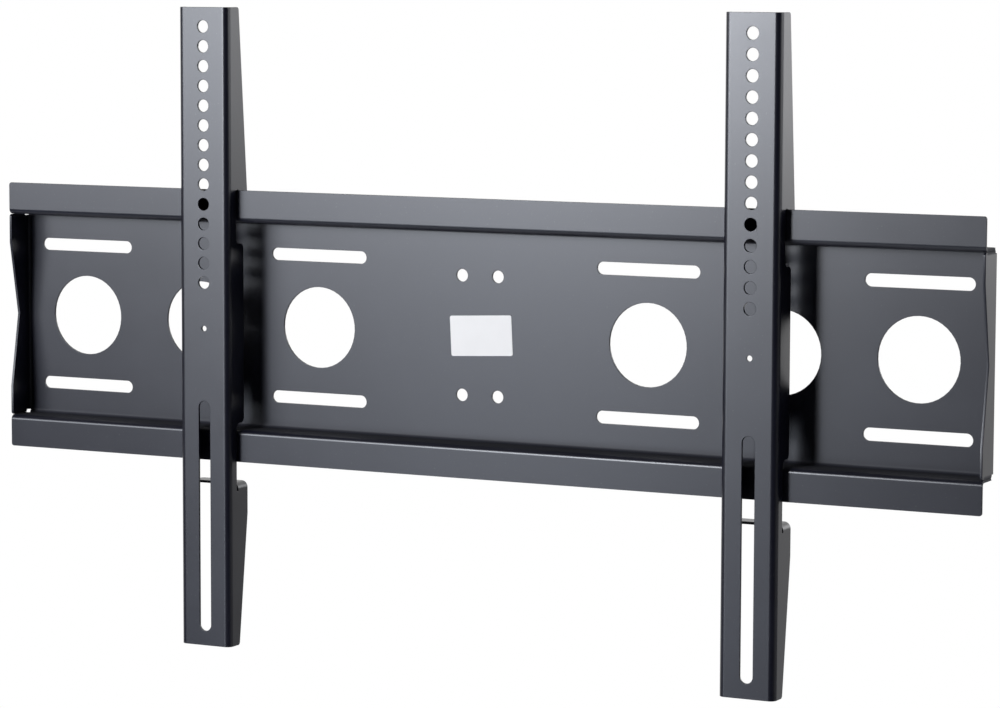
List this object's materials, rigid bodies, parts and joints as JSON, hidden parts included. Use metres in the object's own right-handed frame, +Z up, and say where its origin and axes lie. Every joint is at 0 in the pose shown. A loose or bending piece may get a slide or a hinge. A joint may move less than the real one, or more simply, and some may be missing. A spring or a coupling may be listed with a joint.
{
  "type": "tv wall mount",
  "caption": "Fixed wall mount for a flat screen: a folded steel plate with upper and lower rails, and perforated arms that hook over the upper rail and slide along it.",
  "frame": {"origin": "centre of the wall plate's back face, on the wall", "axes": "+X to the right seen from the room, +Y into the wall, +Z up"},
  "size_m": [0.81, 0.0385, 0.4905],
  "materials": {
    "plate_coat": "semi-gloss black powder coat",
    "arm_coat": "semi-gloss black powder coat",
    "label_film": "matt white film, blank"
  },
  "bodies": {
    "wall_plate": {"wall_plate": "plate_coat", "label": "label_film"},
    "left_arm": {"left_arm": "arm_coat"},
    "right_arm": {"right_arm": "arm_coat"}
  },
  "joints": [
    {"name": "left_arm_slide", "type": "slide", "parent": "wall_plate", "child": "left_arm", "axis": [1, 0, 0], "range_m": [-0.2035, 0.196]},
    {"name": "right_arm_slide", "type": "slide", "parent": "wall_plate", "child": "right_arm", "axis": [1, 0, 0], "range_m": [-0.2115, 0.146]}
  ]
}
